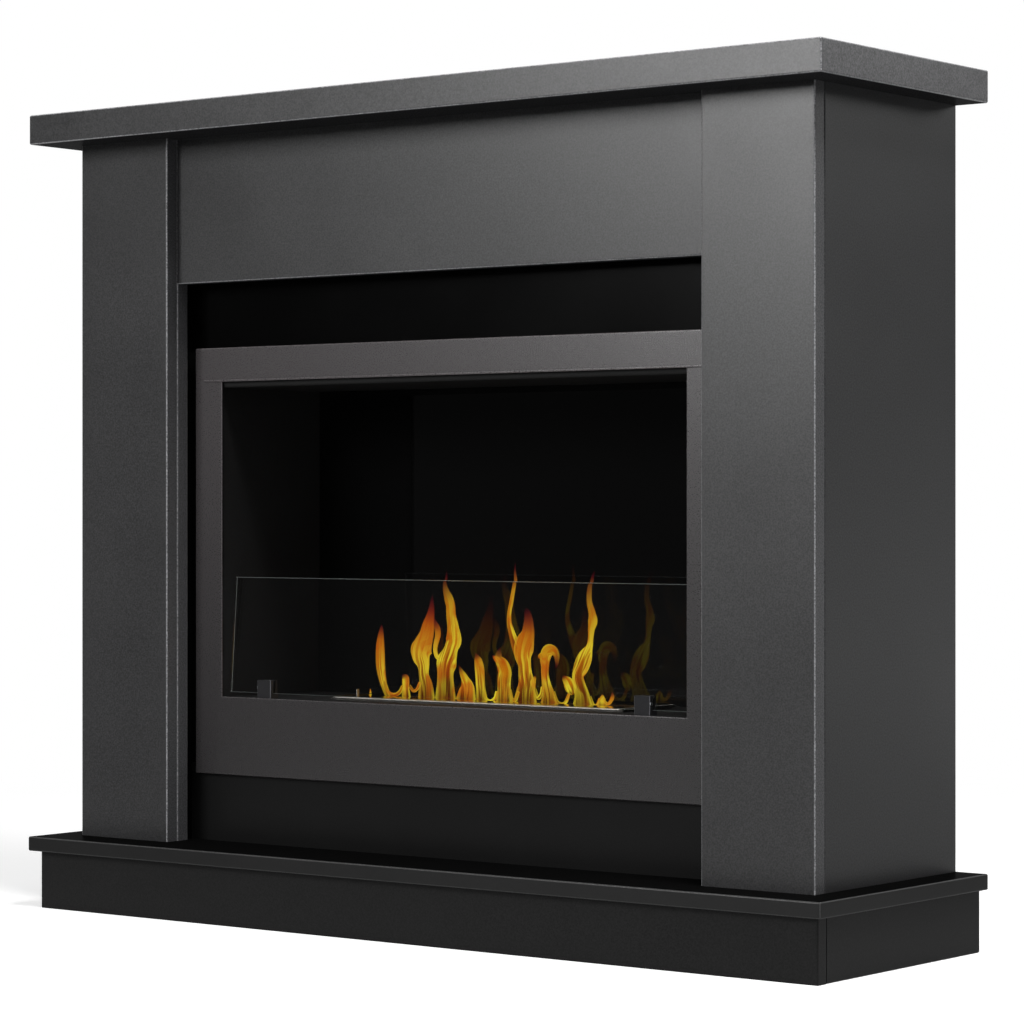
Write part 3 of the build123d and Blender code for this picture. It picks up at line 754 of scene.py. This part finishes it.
def burning_vapour():
    """Glowing vapour: yellow threads along the flow over orange, redder and fainter upwards.

    The threads are noise in the flow's own coordinates, 4.5 mm apart and 80 mm long. So
    are the patches of a warmer orange, 16 mm apart and 30 mm long.
    """
    threads_per_metre = (1 / (4.5 * mm), 90, 1 / (80 * mm))
    patches_per_metre = (1 / (16 * mm), 60, 1 / (30 * mm))
    material, tree, _ = new_material("burning_vapour")
    up = add(tree, "Attribute", attribute_name="up").outputs["Fac"]
    aside = add(tree, "Attribute", attribute_name="aside").outputs["Fac"]
    redness = add(tree, "Attribute", attribute_name="redness").outputs["Fac"]
    flow = add(tree, "Attribute", attribute_name="flow").outputs["Vector"]
    drawn_out = add(tree, "Mapping", {"Vector": flow, "Scale": threads_per_metre})
    wavy = {"Vector": drawn_out, "Scale": 1.0, "Detail": 1, "Distortion": 0.8}
    threads = add(tree, "TexNoise", wavy)
    thread = add(tree, "MapRange", {0: threads, 1: 0.43, 2: 0.55, 3: 0.0, 4: 1.0})
    side = add(tree, "Math", {0: aside}, operation="ABSOLUTE")
    rim = add(tree, "MapRange", {0: side, 1: 0.7, 2: 0.97, 3: 0.0, 4: 0.9})
    low = add(tree, "MapRange", {0: up, 1: 0.4, 2: 0.85, 3: 1.0, 4: 0.3})
    root = add(tree, "MapRange", {0: up, 1: 0.0, 2: 0.22, 3: 0.35, 4: 1.0})
    risen = add(tree, "Math", {0: low, 1: root}, operation="MULTIPLY")
    streak = add(tree, "Math", {0: thread, 1: risen}, operation="MULTIPLY")
    bright = add(tree, "Math", {0: streak, 1: rim}, operation="MAXIMUM")
    foot = add(tree, "MapRange", {0: up, 1: 0.0, 2: 0.45, 3: 0.0, 4: 1.0})
    veils = {0: foot, 6: linear("#7a3206"), 7: linear("#d48608")}
    veil = add(tree, "Mix", veils, data_type="RGBA").outputs[2]
    glow_colours = {0: bright, 6: veil, 7: linear("#f4e236")}
    yellow = add(tree, "Mix", glow_colours, data_type="RGBA").outputs[2]
    rise = add(tree, "MapRange", {0: up, 1: 0.15, 2: 0.8, 3: 0.1, 4: 1.0})
    reddish = add(tree, "Math", {0: rise, 1: redness}, operation="MULTIPLY")
    broad = add(tree, "Mapping", {"Vector": flow, "Scale": patches_per_metre})
    patches = add(tree, "TexNoise", {"Vector": broad, "Scale": 1.0, "Detail": 1})
    patch = add(tree, "MapRange", {0: patches, 1: 0.46, 2: 0.6, 3: 0.0, 4: 0.75})
    warm = add(tree, "Math", {0: reddish, 1: patch}, operation="MAXIMUM")
    warmed = {0: warm, 6: yellow, 7: linear("#c9480a")}
    orange = add(tree, "Mix", warmed, data_type="RGBA").outputs[2]
    tip = add(tree, "MapRange", {0: up, 1: 0.68, 2: 0.92, 3: 0.0, 4: 1.0})
    ends = {0: tip, 6: orange, 7: linear("#7c1224")}
    tone = add(tree, "Mix", ends, data_type="RGBA").outputs[2]
    glow = add(tree, "Emission", {"Color": tone, "Strength": 1.0})
    body = add(tree, "MapRange", {0: up, 1: 0.0, 2: 0.4, 3: 0.15, 4: 0.65})
    strands = add(tree, "Math", {0: bright, 1: 0.9}, operation="MULTIPLY")
    dense = add(tree, "Math", {0: body, 1: strands}, operation="MAXIMUM")
    fading = add(tree, "MapRange", {0: up, 1: 0.6, 2: 0.98, 3: 1.0, 4: 0.0})
    outline = add(tree, "MapRange", {0: side, 1: 0.93, 2: 1.0, 3: 1.0, 4: 0.2})
    soft = add(tree, "Math", {0: fading, 1: outline}, operation="MULTIPLY")
    cover = add(tree, "Math", {0: dense, 1: soft}, operation="MULTIPLY")
    surface = add(tree, "MixShader", {0: cover, 1: add(tree, "BsdfTransparent"), 2: glow})
    add(tree, "OutputMaterial", {"Surface": surface})
    return material


flames = bpy.data.objects.new("flames", flame_mesh())
bpy.context.scene.collection.objects.link(flames)
flames.data.materials.append(burning_vapour())
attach(flames, "burner")
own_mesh(flames)

# ---------------------------------------------------------------- studio
# A pale floor that fades into white, a soft lamp at the left front, one high at the
# right and a weak one behind, and a camera with a long lens at half the mantel's height.

camera_azimuth = math.radians(37.62)
behind = (-math.sin(camera_azimuth), math.cos(camera_azimuth), 0)


def backdrop_share(tree, behindness):
    """How white the backdrop is to a ray: 1 to the camera's own, and to the others only
    behind the object, where behindness is near 1."""
    path = add(tree, "LightPath").outputs
    part = add(tree, "MapRange", {0: behindness, 1: 0.75, 2: 0.95, 3: 0.0, 4: 1.0})
    return add(tree, "Math", {0: part, 1: path["Is Camera Ray"]}, operation="MAXIMUM")


def shows_backdrop(tree):
    """1 for the rays that show the backdrop: the camera's own, off a gloss, or through glass."""
    path = add(tree, "LightPath").outputs
    gloss = {0: path["Is Glossy Ray"], 1: path["Is Transmission Ray"]}
    indirect = add(tree, "Math", gloss, operation="MAXIMUM")
    either = {0: indirect, 1: path["Is Camera Ray"]}
    return add(tree, "Math", either, operation="MAXIMUM")


def pale_floor():
    """A pale floor with the object's shadow, lifted towards white, and plain further out."""
    near, far = 0.9, 2.4
    glow_near = 0.4
    material, tree, place = new_material("pale_floor")
    distance = add(tree, "VectorMath", {0: place}, operation="LENGTH").outputs["Value"]
    depth = add(tree, "VectorMath", {0: place, 1: behind}, operation="DOT_PRODUCT")
    seen = shows_backdrop(tree)
    share = backdrop_share(tree, depth.outputs["Value"])
    shown = add(tree, "Math", {0: share, 1: seen}, operation="MULTIPLY")
    tones = {0: shown, 6: linear("#9c9c9c"), 7: linear("#ececec")}
    tone = add(tree, "Mix", tones, data_type="RGBA").outputs[2]
    ground = add(tree, "BsdfDiffuse", {"Color": tone})
    lift = add(tree, "Emission", {"Strength": add(tree, "MapRange", {0: shown, 4: glow_near})})
    lifted = add(tree, "AddShader", {0: ground, 1: lift})
    plain = add(tree, "Emission", {"Strength": add(tree, "MapRange", {0: share, 3: 0.04, 4: 1.0})})
    away = add(tree, "MapRange", {0: distance, 1: near, 2: far, 3: 0.0, 4: 1.0})
    fade = add(tree, "Math", {0: away, 1: seen}, operation="MULTIPLY")
    surface = add(tree, "MixShader", {0: fade, 1: lifted, 2: plain})
    add(tree, "OutputMaterial", {"Surface": surface})
    return material


floor_half = 12.0  # metres, past everything that the camera sees
floor_mesh = bpy.data.meshes.new("floor")
corners = floor_half * np.array([(-1, -1, 0), (1, -1, 0), (1, 1, 0), (-1, 1, 0)])
floor_mesh.from_pydata(corners.tolist(), [], [(0, 1, 2, 3)])
floor_mesh.materials.append(pale_floor())
floor = bpy.data.objects.new("floor", floor_mesh)
bpy.context.scene.collection.objects.link(floor)


def soft_lamp(name, azimuth, elevation, distance, size, power):
    """A square soft box aimed at the object's middle, from an azimuth, which is 0 in front
    and grows to the right, and an elevation in degrees."""
    middle = np.array([0, 0, 0.55])
    lamp = bpy.data.lights.new(name, "AREA")
    lamp.shape = "SQUARE"
    lamp.size = size
    lamp.energy = power
    turn, rise = math.radians(azimuth), math.radians(elevation)
    out = math.sin(turn) * math.cos(rise), -math.cos(turn) * math.cos(rise), math.sin(rise)
    box = bpy.data.objects.new(name, lamp)
    box.location = middle + distance * np.array(out)
    box.rotation_euler = (math.radians(90) - rise, 0, turn)
    bpy.context.scene.collection.objects.link(box)


soft_lamp("key_lamp", azimuth=-19, elevation=21, distance=3.6, size=1.2, power=56)
soft_lamp("side_lamp", azimuth=70, elevation=58, distance=2.8, size=1.0, power=74)
soft_lamp("rim_lamp", azimuth=140, elevation=25, distance=3.0, size=1.0, power=6)

# The world is white behind the object, and lights it evenly and weakly from all round.
world = bpy.data.worlds.new("studio")
bpy.context.scene.world = world
world.use_nodes = True
air = world.node_tree
air.nodes.clear()
ray = add(air, "TexCoord").outputs["Generated"]
facing = add(air, "VectorMath", {0: ray, 1: behind}, operation="DOT_PRODUCT").outputs["Value"]
white_share = backdrop_share(air, facing)
shown_strength = add(air, "MapRange", {0: white_share, 3: 0.03, 4: 1.0})
backdrop = add(air, "Background", {"Color": linear("#ffffff"), "Strength": shown_strength})
ambient = add(air, "Background", {"Color": linear("#ffffff"), "Strength": 0.4})
studio = add(air, "MixShader", {0: shows_backdrop(air), 1: ambient, 2: backdrop})
add(air, "OutputWorld", {"Surface": studio})

# Place, turn, lens and shift are those that bring the solids' edges onto the photograph's.
camera = bpy.data.cameras.new("camera")
camera.lens = 119.48
camera.sensor_width = 36
camera.shift_y = -0.0034
camera.clip_end = 100
view = bpy.data.objects.new("camera", camera)
view.location = (2.51213, -3.20065, 0.50384)
view.rotation_euler = (math.radians(90), 0, camera_azimuth)
bpy.context.scene.collection.objects.link(view)
bpy.context.scene.camera = view
bpy.context.scene.view_settings.view_transform = "Standard"
